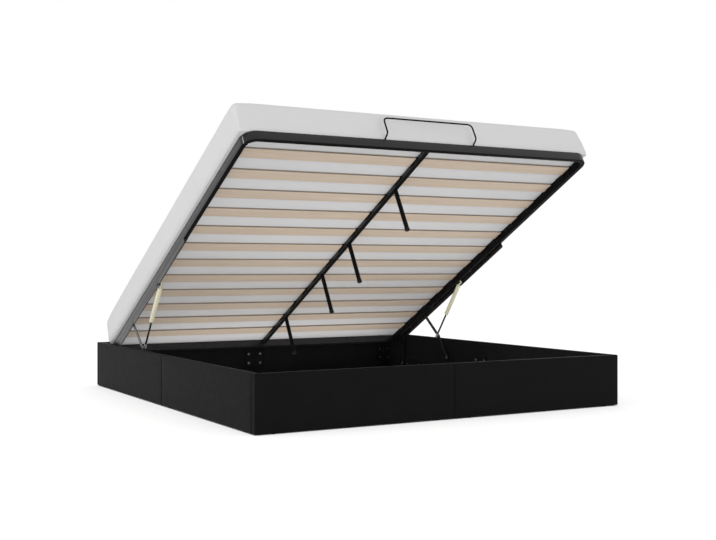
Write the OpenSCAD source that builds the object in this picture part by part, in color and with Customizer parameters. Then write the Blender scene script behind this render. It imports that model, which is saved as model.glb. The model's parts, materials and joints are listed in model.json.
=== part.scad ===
// Ottoman platform bed: a low upholstered box with a slatted steel lid that carries the mattress and
// stands open on two lift arms and two gas springs. X runs along the foot end, Y towards the head,
// Z up, and the origin is on the floor under the middle of the box. All sizes are in millimetres.

/* [Box] */
// Outer width of the box
box_w = 1830; // [1400:10:2030]
// Outer length of the box
box_l = 2050; // [1950:10:2250]
// Height of the rails above the floor
rail_h = 234; // [220:1:280]
// Thickness of an upholstered panel
panel_t = 28; // [24:1:40]
// Thickness of the faux-leather cover and its padding
cover_t = 2; // [1:0.5:4]
// Rounding of the panels' long edges
panel_edge_r = 4; // [2:0.5:8]
// Gap between the two halves of a side
panel_seam = 0.6; // [0.2:0.1:2]
// Width of the slot between the cover's turned-in edges under a panel
staple_slot = 12; // [8:1:16]
// Distance of that slot from the ends of a half panel
slot_end = 24; // [10:1:60]
// Height of the glides under the panels
glide_h = 3; // [2:0.5:6]
// Radius of a glide
glide_r = 11; // [8:1:13]
// Radius of the pin on a glide
glide_pin_r = 4; // [2:0.5:4]
// Distance of the glides from the ends of a half panel
glide_in = 80; // [40:5:200]

/* [Box fixings] */
// Thickness of the steel corner brackets and joint plates
bracket_t = 3; // [2:0.5:5]
// Length of each leg of a corner bracket
bracket_leg = 60; // [50:1:90]
// Width of the plate that joins two half panels
joint_plate_w = 120; // [100:1:160]
// Lowest edge of the brackets and joint plates above the floor
bracket_z = 60; // [40:1:80]
// Height of the brackets and joint plates
bracket_h = 100; // [80:1:110]
// Radius of a panel bolt's shank
bolt_r = 3; // [2.5:0.5:4]
// Radius of a panel bolt's head
bolt_head_r = 6.5; // [5.5:0.5:8]
// Height of a panel bolt's head
bolt_head_h = 3; // [2:0.5:3.5]
// How deep a panel bolt bites into the board
bolt_bite = 14; // [8:1:18]
// Distance of the bolts from an edge of their bracket or plate
bolt_inset = 24; // [18:1:28]

/* [Lid frame] */
// Gap between the closed frame and a side rail
frame_side_gap = 4.5; // [3.5:0.5:12]
// Gap between the closed frame and the foot and head panels, both together
frame_end_gap = 16; // [12:1:30]
// Height of the frame tubes
tube_h = 40; // [30:1:50]
// Width of the frame tubes
tube_w = 20; // [18:1:30]
// Wall of the frame tubes
tube_wall = 1.5; // [1:0.25:2.5]
// Outer radius of the bent front corners
corner_r = 60; // [54:1:66]
// Where the bent front tube ends, from the front edge
bow_end = 35; // [32:1:44]
// Gap between the bent front tube and a side tube
joint_gap = 5; // [1:0.5:6]
// Where that sleeve starts, from the front edge
joiner_start = 28; // [27:1:30]
// Length of the sleeve that joins the front tube to a side tube
joiner_l = 70; // [40:1:120]
// Wall of the joining sleeve
joiner_wall = 2; // [1:0.25:3]
// Thickness of the cap on a side tube's rear end
plug_t = 2; // [1:0.5:4]
// How deep the cap's spigot enters the tube
plug_depth = 12; // [8:1:30]
// Width of the spine
spine_w = 22; // [20:1:30]
// Height of the spine
spine_h = 20; // [15:1:30]
// Height of the mattress's underside over the rails when the lid is down
mattress_gap = 1; // [0.5:0.5:5]

/* [Slats] */
// Number of slat rows
slat_rows = 12; // [8:1:13]
// Width of a slat
slat_w = 66; // [50:1:75]
// Thickness of a slat
slat_t = 8; // [6:0.5:12]
// Distance of the first row from the frame's front edge
slat_front = 112; // [75:1:120]
// Distance of the last row from the frame's rear edge
slat_rear = 126; // [60:1:160]
// How far a slat holder reaches under its slat
holder_depth = 7; // [5:1:20]
// Wall of a slat holder
holder_wall = 2; // [1:0.5:3]

/* [Legs] */
// Distances of the four legs from the frame's front edge
leg_places = [349, 838, 1160, 1642]; // [150:1:1700]
// Radius of a leg
leg_r = 10; // [8:0.5:10.5]
// Wall of a leg
leg_wall = 1.5; // [1:0.25:2.5]
// Height of the leg's foot cap
foot_h = 12; // [8:1:30]
// How far the foot cap stands proud of the leg
foot_lip = 1.5; // [0.5:0.5:4]
// Thickness of the solid top of a leg, where it meets the spine
leg_top_t = 10; // [5:1:20]
// Height of the feet over the floor when the lid is down
foot_clear = 1; // [0.5:0.5:4]

/* [Mattress] */
// How much narrower the mattress is than the box, on each side
mattress_side_inset = 15; // [5:1:30]
// Distance of the mattress's front from the frame's front edge
mattress_front = 10; // [9.5:0.5:14]
// How much shorter the mattress is than the box
mattress_short = 50; // [45:1:120]
// Thickness of the mattress at its edges
mattress_t = 152; // [100:1:240]
// Height of the crown in the middle of the mattress
mattress_crown = 5; // [0:1:30]
// Rounding of the mattress's lower edges
mattress_edge_r = 34; // [32:1:45]
// Rounding of its upper edges
mattress_top_r = 20; // [10:1:40]
// Rounding of its front corners in plan
mattress_front_r = 15; // [10:1:60]
// Rounding of its rear corners in plan, which dip between the rails
mattress_rear_r = 75; // [70:1:120]

/* [Mattress retainer] */
// Radius of the retainer's wire
wire_r = 3.5; // [2.5:0.5:4]
// Half the width of the retainer
wire_half_w = 229; // [120:1:300]
// Height of the retainer's bar over the frame tubes
wire_rise = 94; // [60:1:120]
// How far the bar stands in front of the frame
wire_reach = 25; // [18:1:30]
// Height of the knee where the wire turns up, over the frame tubes
wire_knee = 17; // [14:1:30]
// Rounding of the bar's corners
wire_bend = 24; // [12:1:30]
// Rounding of the knee
wire_knee_bend = 12; // [6:1:14]
// Distance of the wire's feet from the frame's front edge
wire_inset = 5; // [4.5:0.5:10]
// Height of the straight stems over the frame tubes
wire_stem = 7; // [5:0.5:9]

/* [Lift] */
// Angle of the open lid
lift_angle = 29; // [24:0.5:32]
// Distance of the arm's pivot on the box from the head panel's inner face
arm_base_back = 692; // [600:1:760]
// Height of the arm's pivot on the box above the floor
arm_base_z = 130; // [120:1:135]
// Length of the arm between its pivots
arm_l = 312; // [290:1:330]
// Angle of the arm when the lid is open
arm_open = 45.5; // [40:0.5:50]
// Distance of the arm's upper pivot from the frame's rear edge
arm_top_back = 378; // [340:1:420]
// Place of the arm's elbow along the line between its pivots
elbow_along = 140; // [110:1:160]
// Height of the elbow over that line
elbow_rise = 21.5; // [10:0.5:24]
// Width of the arm
arm_w = 19; // [16:0.5:19.5]
// How far the arm's upper end stands out past its width, on each side
end_swell = 0.5; // [0:0.25:0.5]
// How far the arm's elbow and lower end stand out past its width, on each side
elbow_swell = 1.5; // [0:0.25:2]
// Thickness of the arms, links and lift plates
arm_t = 3; // [2:0.5:4]
// Distance of the rear link's upper pivot from the frame's rear edge
link_top_back = 108; // [100:1:130]
// Length of the rear link between its pivots
link_l = 155; // [145:1:160]
// Depth of the rear link's upper pivot under the frame
link_drop = 20; // [20:0.5:24]
// Radius of the lug that the lift bracket has there
lug_r = 12; // [10:0.5:14]
// Depth of the lift bracket's flange under the frame
flange_h = 24; // [24:1:32]
// Thickness of the lift bracket's top leg
flange_top_t = 2.5; // [2:0.25:3]
// Distance of the lift bracket's front end from the frame's rear edge
flange_front_back = 1203; // [1000:1:1300]
// Distance of the lift bracket's rear end from the frame's rear edge
flange_rear_back = 78; // [40:1:85]
// Depth of the arm's and the gas spring's upper pivots under the frame
pivot_drop = 14; // [14:0.5:16]
// Radius of the pivot pins
pin_r = 5; // [4:0.5:5.5]
// Radius of the pivot pins' heads
pin_head_r = 8; // [7:0.5:9]
// Thickness of the pivot pins' heads on the inner side
pin_head_t = 3; // [2:0.5:3.5]
// Radius of the rivet heads
rivet_r = 7; // [6:0.5:8]
// Thickness of the rivet heads
rivet_t = 2; // [1:0.25:2.5]
// Height of the lift plate's long strip
strip_h = 44; // [38:1:50]
// How far the lift plate reaches in front of the arm's pivot
plate_front = 30; // [20:1:50]
// How far the lift plate reaches behind the rear link's pivot
plate_rear = 40; // [20:1:60]
// Height of the lift plate over the arm's pivot
plate_rise = 22; // [14:1:30]
// Length of the lift plate's top edge behind the arm's pivot
plate_top_l = 24; // [14:1:40]
// Where the lift plate's slope ends, behind the arm's pivot
plate_slope_l = 90; // [50:1:110]
// Radius of the lift plate's bosses
boss_r = 10; // [9:0.5:12]
// Places of the lift plate's first three bolts, behind the arm's pivot
plate_bolt_places = [-8, 130, 300]; // [-20:1:330]
// Distance of its last bolt from the rear link's pivot
plate_bolt_back = 50; // [30:1:80]
// Distances of the lift bracket's screws from the frame's rear edge
screw_backs = [1148, 898, 478, 158]; // [130:1:1180]
// Radius of a screw's shank
screw_r = 2.5; // [2:0.25:3]
// Radius of a screw's head
screw_head_r = 4.5; // [3.5:0.25:5]
// Height of a screw's head
screw_head_h = 1.5; // [1:0.25:2]
// How far a screw reaches past the wall of its tube
screw_tip = 5; // [2:0.5:10]

/* [Gas springs] */
// Distance of the gas spring's upper pivot from the frame's rear edge
gas_top_back = 798; // [760:1:840]
// Radius of the cylinder
gas_r = 11; // [10:0.5:11.5]
// Wall of the cylinder
gas_wall = 1.5; // [1:0.25:2]
// Length of the cylinder from its pivot to its mouth
gas_body_l = 225; // [200:1:225]
// Length of the neck between the eye and the cylinder
neck_l = 14; // [4:0.5:16]
// Thickness of the cylinder's closed end
gas_floor_t = 8; // [4:0.5:12]
// Distance of the cylinder's axis from the arm's inner face
gas_standoff = 12.7; // [12.5:0.1:14]
// Radius of the rod
rod_r = 5; // [3:0.5:5.5]
// Length of the gland in the cylinder's mouth
gland_l = 12; // [8:1:20]
// Length of the piston
piston_l = 10; // [6:1:14]
// Distance of the piston from the gland when the spring is out
piston_gap = 2; // [1:0.5:6]
// Radius of the ball on the rod's end
ball_r = 8; // [7:0.5:9]
// Length of the fitting on the rod's end, from the ball's centre
fitting_l = 19; // [15:1:20]
// Radius of that fitting's neck
fitting_r = 6.5; // [6.5:0.5:7.5]
// How deep the rod is screwed into its fitting
rod_screw_in = 8; // [5:0.5:9]
// Radius of the stud that carries the cylinder
stud_r = 4; // [3:0.5:4.5]
// Radius of the stud's collars
collar_r = 6; // [5:0.5:6.5]
// Radius of the cylinder's eye
eye_r = 8; // [7:0.5:9]
// Thickness of the cylinder's eye
eye_t = 8; // [6:0.5:9]

/* [Clearances] */
// Radial clearance of a pin or rod in its hole
pin_clear = 0.05; // [0.02:0.01:0.1]
// Gap between faces that slide on each other
face_clear = 0.3; // [0.2:0.1:0.5]
// Gap round a part that sits inside a tube
insert_clear = 0.1; // [0.05:0.05:0.3]

/* [Hidden] */
$fn = 48;
eps = 1;

// Box
half_w = box_w / 2;
half_l = box_l / 2;
rail_in = half_w - panel_t;
head_in = half_l - panel_t;
end_panel_l = half_w - panel_seam / 2;
side_panel_l = head_in - panel_seam / 2;
bolt_rows = [bracket_z + bolt_inset, bracket_z + bracket_h - bolt_inset];
joint_bolt_at = joint_plate_w / 2 - bolt_inset;
corner_bolt_in = bracket_leg - bolt_inset;
bolt_hole_r = bolt_r + pin_clear;

// Lid frame, in its own axes: X as the box, Y back from the front edge, Z up from the tubes' underside
frame_w = 2 * (rail_in - frame_side_gap);
frame_l = 2 * head_in - frame_end_gap;
frame_half = frame_w / 2;
tube_in = frame_half - tube_w;
side_end = frame_l - plug_t;
rear_front = side_end - tube_w;
closed_z = rail_h + mattress_gap - tube_h;
slat_pitch = (frame_l - slat_front - slat_rear - slat_w) / (slat_rows - 1);
slat_low = tube_h - slat_t;
spine_low = tube_h - spine_h;
leg_low = foot_clear - closed_z;

// Lift linkage, in the plane of Y and Z
arm_base_y = head_in - arm_base_back;
arm_top_s = frame_l - arm_top_back;
link_top_s = frame_l - link_top_back;
gas_top_s = frame_l - gas_top_back;
arm_top_y = arm_base_y + arm_l * cos(arm_open);
arm_top_z = arm_base_z + arm_l * sin(arm_open);
lid_y = arm_top_y - arm_top_s * cos(lift_angle) + pivot_drop * sin(lift_angle);
lid_z = arm_top_z + arm_top_s * sin(lift_angle) + pivot_drop * cos(lift_angle);
arm_closed = asin((closed_z - pivot_drop - arm_base_z) / arm_l);
closed_y = arm_base_y + arm_l * cos(arm_closed) - arm_top_s;
// The point of the open lid that is s back from its front edge and drop under the frame
function open_point(s, drop) = [
    lid_y + s * cos(lift_angle) - drop * sin(lift_angle),
    lid_z - s * sin(lift_angle) - drop * cos(lift_angle)];
link_open = open_point(link_top_s, link_drop);
link_shut = [closed_y + link_top_s, closed_z - link_drop];
link_move = link_shut - link_open;
link_offset = sqrt(pow(link_l, 2) - pow(norm(link_move) / 2, 2));
link_base = (link_open + link_shut) / 2 - link_offset * [-link_move[1], link_move[0]] / norm(link_move);
gas_top = open_point(gas_top_s, pivot_drop);
elbow = [
    arm_base_y + elbow_along * cos(arm_open) - elbow_rise * sin(arm_open),
    arm_base_z + elbow_along * sin(arm_open) + elbow_rise * cos(arm_open)];
gas_l = norm(elbow - gas_top);
gas_angle = atan2(elbow[1] - gas_top[1], elbow[0] - gas_top[0]);
strip_low = link_base[1] - strip_h / 2;
strip_top = link_base[1] + strip_h / 2;
plate_bolts = concat([for (y = plate_bolt_places) arm_base_y + y], [link_base[0] - plate_bolt_back]);

// Planes of the lift, as distances from the middle of the bed
plate_in = rail_in - arm_t;
flange_out = frame_half;
flange_in = flange_out - arm_t;
arm_out = flange_in - face_clear;
arm_in = arm_out - arm_t;
head_face = arm_in - face_clear;
gas_x = arm_in - gas_standoff;
eye_out = gas_x + eye_t / 2;
eye_in = gas_x - eye_t / 2;
joint_r = arm_w / 2 + end_swell;
elbow_r = arm_w / 2 + elbow_swell;
screw_places = [for (back = screw_backs) frame_l - back];
screw_x = (tube_in + flange_in) / 2;

// Finishes
leather_black = [0.13, 0.13, 0.13];
board_brown = [0.62, 0.5, 0.36];
steel_black = [0.12, 0.12, 0.12];
steel_bare = [0.72, 0.73, 0.75];
plastic_black = [0.08, 0.08, 0.08];
slat_birch = [0.78, 0.71, 0.62];
mattress_white = [0.9, 0.9, 0.9];
cylinder_cream = [0.88, 0.87, 0.78];
rod_dark = [0.15, 0.15, 0.16];

SLAT_NODES = [for (i = [1 : slat_rows]) str("slat_row_", i)];
LEG_NODES = [for (i = [1 : len(leg_places)]) str("leg_", i)];

// ---- Shared shapes ----

// A cylinder along X from x0 to x1, at y and z
module disc(r, x0, x1, y = 0, z = 0) {
    translate([x0, y, z]) rotate([0, 90, 0]) cylinder(r = r, h = x1 - x0);
}

// A rectangle with round corners, from the origin
module round_rectangle(w, h, r) {
    translate([r, 0]) square([w - 2 * r, h]);
    translate([0, r]) square([w, h - 2 * r]);
    for (x = [r, w - r], y = [r, h - r]) translate([x, y]) circle(r = r);
}

// A length of tube along Y with a rectangular section, open at both ends
module tube_y(x0, x1, y0, y1, z0, z1, wall) {
    difference() {
        translate([x0, y0, z0]) cube([x1 - x0, y1 - y0, z1 - z0]);
        translate([x0 + wall, y0 - eps, z0 + wall])
            cube([x1 - x0 - 2 * wall, y1 - y0 + 2 * eps, z1 - z0 - 2 * wall]);
    }
}

// Mirrors the right-hand shape for the left
module on_hand(left) {
    mirror([left ? 1 : 0, 0, 0]) children();
}

module both_hands() {
    for (left = [false, true]) on_hand(left) children();
}

// Carries a shape from the lid's own axes to the open lid
module on_lid() {
    translate([0, lid_y, lid_z]) rotate([-lift_angle, 0, 0]) children();
}

// ---- Box ----

// A side's own axes: X along the side from its middle, Y inwards from its outer face
module on_side(side) {
    if (side == "foot") translate([0, -half_l, 0]) children();
    if (side == "head") translate([0, half_l, 0]) mirror([0, 1, 0]) children();
    if (side == "left") translate([-half_w, 0, 0]) mirror([1, 0, 0]) rotate([0, 0, 90]) children();
    if (side == "right") translate([half_w, 0, 0]) rotate([0, 0, 90]) children();
}

function panel_l(side) = side == "foot" || side == "head" ? end_panel_l : side_panel_l;
// Distance from the side's middle to the inner corner of the box
function inner_l(side) = side == "foot" || side == "head" ? rail_in : head_in;

// The bolts of one half of a side, as places along it and heights; way is 1 or -1
function half_bolts(side, way) = concat(
    [for (z = bolt_rows) [joint_bolt_at, z, bracket_t]],
    [for (z = bolt_rows) [inner_l(side) - corner_bolt_in, z, bracket_t]],
    (side == "left" || side == "right") && way > 0
        ? [for (y = plate_bolts) [y, link_base[1], arm_t]] : []);

module half_way(way) {
    mirror([way < 0 ? 1 : 0, 0, 0]) children();
}

module bolt_holes(side, way) {
    for (b = half_bolts(side, way))
        translate([b[0], panel_t + eps, b[1]])
            rotate([90, 0, 0]) cylinder(r = bolt_hole_r, h = cover_t + bolt_bite + eps);
}

// A faux-leather cover, turned in under the panel with a slot between its edges
module panel_cover(side, way) {
    l = panel_l(side);
    color(leather_black) on_side(side) half_way(way) difference() {
        translate([panel_seam / 2, 0, glide_h]) rotate([90, 0, 90])
            linear_extrude(l) round_rectangle(panel_t, rail_h - glide_h, panel_edge_r);
        translate([panel_seam / 2 + cover_t, cover_t, glide_h + cover_t])
            cube([l - 2 * cover_t, panel_t - 2 * cover_t, rail_h - glide_h - 2 * cover_t]);
        translate([panel_seam / 2 + slot_end, (panel_t - staple_slot) / 2, glide_h - eps])
            cube([l - 2 * slot_end, staple_slot, cover_t + 2 * eps]);
        bolt_holes(side, way);
    }
}

// The wooden boards inside the two halves of a side
module boards(side) {
    l = panel_l(side);
    color(board_brown) on_side(side) for (way = [1, -1]) half_way(way) difference() {
        translate([panel_seam / 2 + cover_t, cover_t, glide_h + cover_t])
            cube([l - 2 * cover_t, panel_t - 2 * cover_t, rail_h - glide_h - 2 * cover_t]);
        bolt_holes(side, way);
    }
}

module corner_brackets() {
    color(steel_black) for (way = [1, -1]) both_hands() mirror([0, way < 0 ? 1 : 0, 0]) difference() {
        translate([rail_in - bracket_leg, -head_in, bracket_z])
            cube([bracket_leg, bracket_leg, bracket_h]);
        translate([rail_in - bracket_leg - eps, -head_in + bracket_t, bracket_z - eps])
            cube([bracket_leg - bracket_t + eps, bracket_leg, bracket_h + 2 * eps]);
        for (z = bolt_rows) {
            translate([rail_in - corner_bolt_in, -head_in - eps, z]) rotate([-90, 0, 0])
                cylinder(r = bolt_hole_r, h = bracket_t + 2 * eps);
            disc(bolt_hole_r, rail_in - bracket_t - eps, rail_in + eps, -head_in + corner_bolt_in, z);
        }
    }
}

module joint_plates() {
    color(steel_black) for (side = ["foot", "head", "left", "right"]) on_side(side) difference() {
        translate([-joint_plate_w / 2, panel_t, bracket_z])
            cube([joint_plate_w, bracket_t, bracket_h]);
        for (x = [-joint_bolt_at, joint_bolt_at], z = bolt_rows)
            translate([x, panel_t - eps, z]) rotate([-90, 0, 0])
                cylinder(r = bolt_hole_r, h = bracket_t + 2 * eps);
    }
}

module panel_bolts() {
    color(steel_bare) for (side = ["foot", "head", "left", "right"], way = [1, -1])
        on_side(side) half_way(way) for (b = half_bolts(side, way)) {
            translate([b[0], panel_t + b[2], b[1]]) rotate([-90, 0, 0])
                cylinder(r = bolt_head_r, h = bolt_head_h);
            translate([b[0], panel_t + b[2], b[1]]) rotate([90, 0, 0])
                cylinder(r = bolt_r, h = b[2] + cover_t + bolt_bite);
        }
}

module glides() {
    color(plastic_black) for (side = ["foot", "head", "left", "right"], way = [1, -1])
        on_side(side) half_way(way) for (x = [glide_in, panel_l(side) - glide_in])
            translate([x, panel_t / 2, 0]) {
                cylinder(r = glide_r, h = glide_h);
                cylinder(r = glide_pin_r, h = glide_h + cover_t);
            }
}

// ---- Lift parts on the box ----

module lift_plate(left) {
    color(steel_black) on_hand(left) difference() {
        union() {
            translate([plate_in, 0, 0]) rotate([90, 0, 90]) linear_extrude(arm_t) polygon([
                [arm_base_y - plate_front, strip_low], [link_base[0] + plate_rear, strip_low],
                [link_base[0] + plate_rear, strip_top], [arm_base_y + plate_slope_l, strip_top],
                [arm_base_y + plate_top_l, arm_base_z + plate_rise],
                [arm_base_y - plate_front, arm_base_z + plate_rise]]);
            disc(boss_r, arm_out + face_clear, plate_in + eps, arm_base_y, arm_base_z);
            disc(boss_r, arm_out + face_clear, plate_in + eps, link_base[0], link_base[1]);
        }
        disc(pin_r + pin_clear, arm_out, rail_in + eps, arm_base_y, arm_base_z);
        disc(pin_r + pin_clear, arm_out, rail_in + eps, link_base[0], link_base[1]);
        for (y = plate_bolts) disc(bolt_hole_r, plate_in - eps, rail_in + eps, y, link_base[1]);
    }
}

// The pins on which the arms and rear links turn
module base_pivots() {
    color(steel_bare) both_hands() for (p = [[arm_base_y, arm_base_z], link_base]) {
        disc(pin_r, head_face - eps, rail_in, p[0], p[1]);
        disc(pin_head_r, head_face - pin_head_t, head_face, p[0], p[1]);
    }
}

// ---- Lid frame ----

// The frame's outline drawn in by inset, with round front corners, cut off at the rear
module frame_outline(inset, rear) {
    intersection() {
        translate([-frame_half + inset, inset])
            round_rectangle(frame_w - 2 * inset, frame_l + corner_r, corner_r - inset);
        translate([-frame_half, 0]) square([frame_w, rear]);
    }
}

module front_tube() {
    color(steel_black) on_lid() difference() {
        linear_extrude(tube_h) difference() {
            frame_outline(0, bow_end);
            frame_outline(tube_w, bow_end + eps);
        }
        translate([0, 0, tube_wall]) linear_extrude(tube_h - 2 * tube_wall) difference() {
            frame_outline(tube_wall, bow_end + eps);
            frame_outline(tube_w - tube_wall, bow_end + 2 * eps);
        }
    }
}

// A length of the frame's right side between two places, drawn in on both of its faces
module side_outline(inset, front, rear) {
    intersection() {
        difference() {
            frame_outline(inset, rear);
            frame_outline(tube_w - inset, rear + eps);
        }
        translate([frame_half - corner_r, front]) square([corner_r, rear - front]);
    }
}

// The same length as a tube, open at both ends
module bent_tube(gap, front, rear, wall) {
    difference() {
        translate([0, 0, gap]) linear_extrude(tube_h - 2 * gap) side_outline(gap, front, rear);
        translate([0, 0, gap + wall]) linear_extrude(tube_h - 2 * gap - 2 * wall)
            side_outline(gap + wall, front - eps, rear + eps);
    }
}

module side_tube(left) {
    color(steel_black) on_lid() on_hand(left) difference() {
        bent_tube(0, bow_end + joint_gap, side_end, tube_wall);
        for (s = screw_places) translate([screw_x, s, -eps])
            cylinder(r = screw_r + pin_clear, h = tube_wall + 2 * eps);
    }
}

module rear_tube() {
    color(steel_black) on_lid() difference() {
        translate([-tube_in, rear_front, 0]) cube([2 * tube_in, tube_w, tube_h]);
        translate([-tube_in - eps, rear_front + tube_wall, tube_wall])
            cube([2 * tube_in + 2 * eps, tube_w - 2 * tube_wall, tube_h - 2 * tube_wall]);
    }
}

module spine_tube() {
    color(steel_black) on_lid()
        tube_y(-spine_w / 2, spine_w / 2, tube_w, rear_front, spine_low, tube_h, tube_wall);
}

// Sleeves inside the frame that join the bent front tube to the side tubes
module frame_joiners() {
    color(steel_bare) on_lid() both_hands()
        bent_tube(tube_wall + insert_clear, joiner_start, joiner_start + joiner_l, joiner_wall);
}

// Plastic caps in the rear ends of the side tubes
module tube_plugs() {
    gap = tube_wall + insert_clear;
    color(plastic_black) on_lid() both_hands() {
        translate([tube_in, side_end, 0]) cube([tube_w, plug_t, tube_h]);
        translate([tube_in + gap, side_end - plug_depth, gap])
            cube([tube_w - 2 * gap, plug_depth + eps, tube_h - 2 * gap]);
    }
}

module lift_bracket(left) {
    front = frame_l - flange_front_back;
    rear = frame_l - flange_rear_back;
    color(steel_black) on_lid() on_hand(left) difference() {
        union() {
            translate([tube_in, front, -flange_top_t]) cube([tube_w, rear - front, flange_top_t]);
            translate([flange_in, front, -flange_h]) cube([arm_t, rear - front, flange_h]);
            disc(lug_r, flange_in, flange_out, link_top_s, -link_drop);
        }
        disc(pin_r + pin_clear, flange_in - eps, flange_out + eps, arm_top_s, -pivot_drop);
        disc(stud_r + pin_clear, flange_in - eps, flange_out + eps, gas_top_s, -pivot_drop);
        for (s = screw_places) translate([screw_x, s, -flange_top_t - eps])
            cylinder(r = screw_r + pin_clear, h = flange_top_t + 2 * eps);
    }
}

module bracket_screws() {
    color(steel_bare) on_lid() both_hands() for (s = screw_places) translate([screw_x, s, 0]) {
        translate([0, 0, -flange_top_t - screw_head_h]) cylinder(r = screw_head_r, h = screw_head_h);
        translate([0, 0, -flange_top_t - screw_head_h / 2])
            cylinder(r = screw_r, h = screw_head_h / 2 + flange_top_t + tube_wall + screw_tip);
    }
}

// Pins for the arms and studs for the gas springs, on the lift brackets
module lid_pivots() {
    color(steel_bare) on_lid() both_hands() {
        disc(pin_r, head_face - eps, flange_out + eps, arm_top_s, -pivot_drop);
        disc(pin_head_r, head_face - pin_head_t, head_face, arm_top_s, -pivot_drop);
        disc(rivet_r, flange_out, flange_out + rivet_t, arm_top_s, -pivot_drop);
        disc(stud_r, eye_in - face_clear - eps, flange_out + eps, gas_top_s, -pivot_drop);
        disc(collar_r, eye_in - face_clear - rivet_t, eye_in - face_clear, gas_top_s, -pivot_drop);
        disc(collar_r, eye_out + face_clear, flange_in, gas_top_s, -pivot_drop);
        disc(collar_r, flange_out, flange_out + rivet_t, gas_top_s, -pivot_drop);
    }
}

// ---- Slats ----

function slat_s(i) = slat_front + (i - 1) * slat_pitch;

// One row: a slat on each side of the spine
module slat_row(i) {
    first = spine_w / 2 + holder_wall;
    color(slat_birch) on_lid() both_hands()
        translate([first, slat_s(i), slat_low])
            cube([tube_in - holder_wall - first, slat_w, slat_t]);
}

// A tray for a slat's end, with its closed end at x0 and its mouth towards way
module slat_tray(x0, way, s) {
    translate([x0, s - holder_wall, slat_low - holder_wall])
        mirror([way < 0 ? 1 : 0, 0, 0]) difference() {
            cube([holder_depth, slat_w + 2 * holder_wall, slat_t + holder_wall]);
            translate([holder_wall, holder_wall, holder_wall])
                cube([holder_depth, slat_w, slat_t + holder_wall]);
        }
}

module slat_holders() {
    color(plastic_black) on_lid() both_hands() for (i = [1 : slat_rows]) {
        slat_tray(tube_in, -1, slat_s(i));
        slat_tray(spine_w / 2, 1, slat_s(i));
    }
}

// ---- Legs under the spine ----

module leg(i) {
    color(steel_black) on_lid() translate([0, leg_places[i - 1], 0]) difference() {
        translate([0, 0, leg_low + foot_lip]) cylinder(r = leg_r, h = spine_low - leg_low - foot_lip);
        translate([0, 0, leg_low]) cylinder(r = leg_r - leg_wall, h = spine_low - leg_low - leg_top_t);
    }
}

// Plastic caps that the legs stand on when the lid is down
module leg_feet() {
    color(plastic_black) on_lid() for (s = leg_places) translate([0, s, leg_low]) {
        difference() {
            cylinder(r = leg_r + foot_lip, h = foot_h);
            translate([0, 0, foot_lip]) cylinder(r = leg_r + insert_clear, h = foot_h);
        }
        cylinder(r = leg_r - leg_wall - insert_clear, h = foot_h);
    }
}

// ---- Mattress retainer ----

// Points of a bend that leaves a towards b and arrives at c, cut off at most d from b
function toward(b, a, d) = b + (a - b) / norm(a - b) * min(d, norm(a - b) / 2);
function bend(a, b, c, d, n = 6) = [for (i = [0 : n])
    let (t = i / n, p = toward(b, a, d), q = toward(b, c, d))
        pow(1 - t, 2) * p + 2 * t * (1 - t) * b + pow(t, 2) * q];
function unit(v) = v / norm(v);

// A round wire along a path that never runs level along Y, as one closed mesh
module wire(path, r, sides = 12) {
    n = len(path);
    points = [for (k = [0 : n - 1])
        let (t = unit(path[min(k + 1, n - 1)] - path[max(k - 1, 0)]),
             u = unit([-t[2], 0, t[0]]), v = cross(t, u))
        for (j = [0 : sides - 1]) path[k] + r * (cos(360 * j / sides) * u + sin(360 * j / sides) * v)];
    ring = [for (k = [0 : n - 2], j = [0 : sides - 1])
        let (a = k * sides + j, b = k * sides + (j + 1) % sides)
        each [[a, a + sides, b], [b, a + sides, b + sides]]];
    first = [for (j = [1 : sides - 2]) [0, j, j + 1]];
    last = [for (j = [1 : sides - 2]) [(n - 1) * sides, (n - 1) * sides + j + 1, (n - 1) * sides + j]];
    polyhedron(points = points, faces = concat(ring, first, last));
}

module mattress_retainer() {
    half = [
        [-wire_half_w, wire_inset, tube_h], [-wire_half_w, wire_inset, tube_h + wire_stem],
        [-wire_half_w, -wire_reach, tube_h + wire_knee],
        [-wire_half_w, -wire_reach, tube_h + wire_rise],
        [0, -wire_reach, tube_h + wire_rise]];
    left = concat([half[0]], bend(half[0], half[1], half[2], wire_r, 3),
        bend(half[1], half[2], half[3], wire_knee_bend),
        bend(half[2], half[3], half[4], wire_bend, 8));
    right = [for (i = [len(left) - 1 : -1 : 0]) [-left[i][0], left[i][1], left[i][2]]];
    color(steel_black) on_lid() wire(concat(left, right), wire_r);
}

// ---- Mattress ----

mattress_hw = half_w - mattress_side_inset;
mattress_hl = half_l - mattress_short / 2;
edge_steps = 5;
corner_steps = 5;
side_steps = 3;
crown_shares = [0.2, 0.45, 0.75];
least_corner_r = 8;

// Drawing-in and height of each ring, from the flat underside over the rounded edges to the crown
mattress_rings = concat(
    [for (i = [0 : edge_steps]) let (a = 90 * i / edge_steps)
        [mattress_edge_r * (1 - sin(a)), mattress_edge_r * (1 - cos(a))]],
    [for (i = [0 : edge_steps]) let (a = 90 * i / edge_steps)
        [mattress_top_r * (1 - cos(a)), mattress_t - mattress_top_r * (1 - sin(a))]],
    [for (share = crown_shares)
        [mattress_hw * share, mattress_t + mattress_crown * sin(90 * share)]]);

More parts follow.
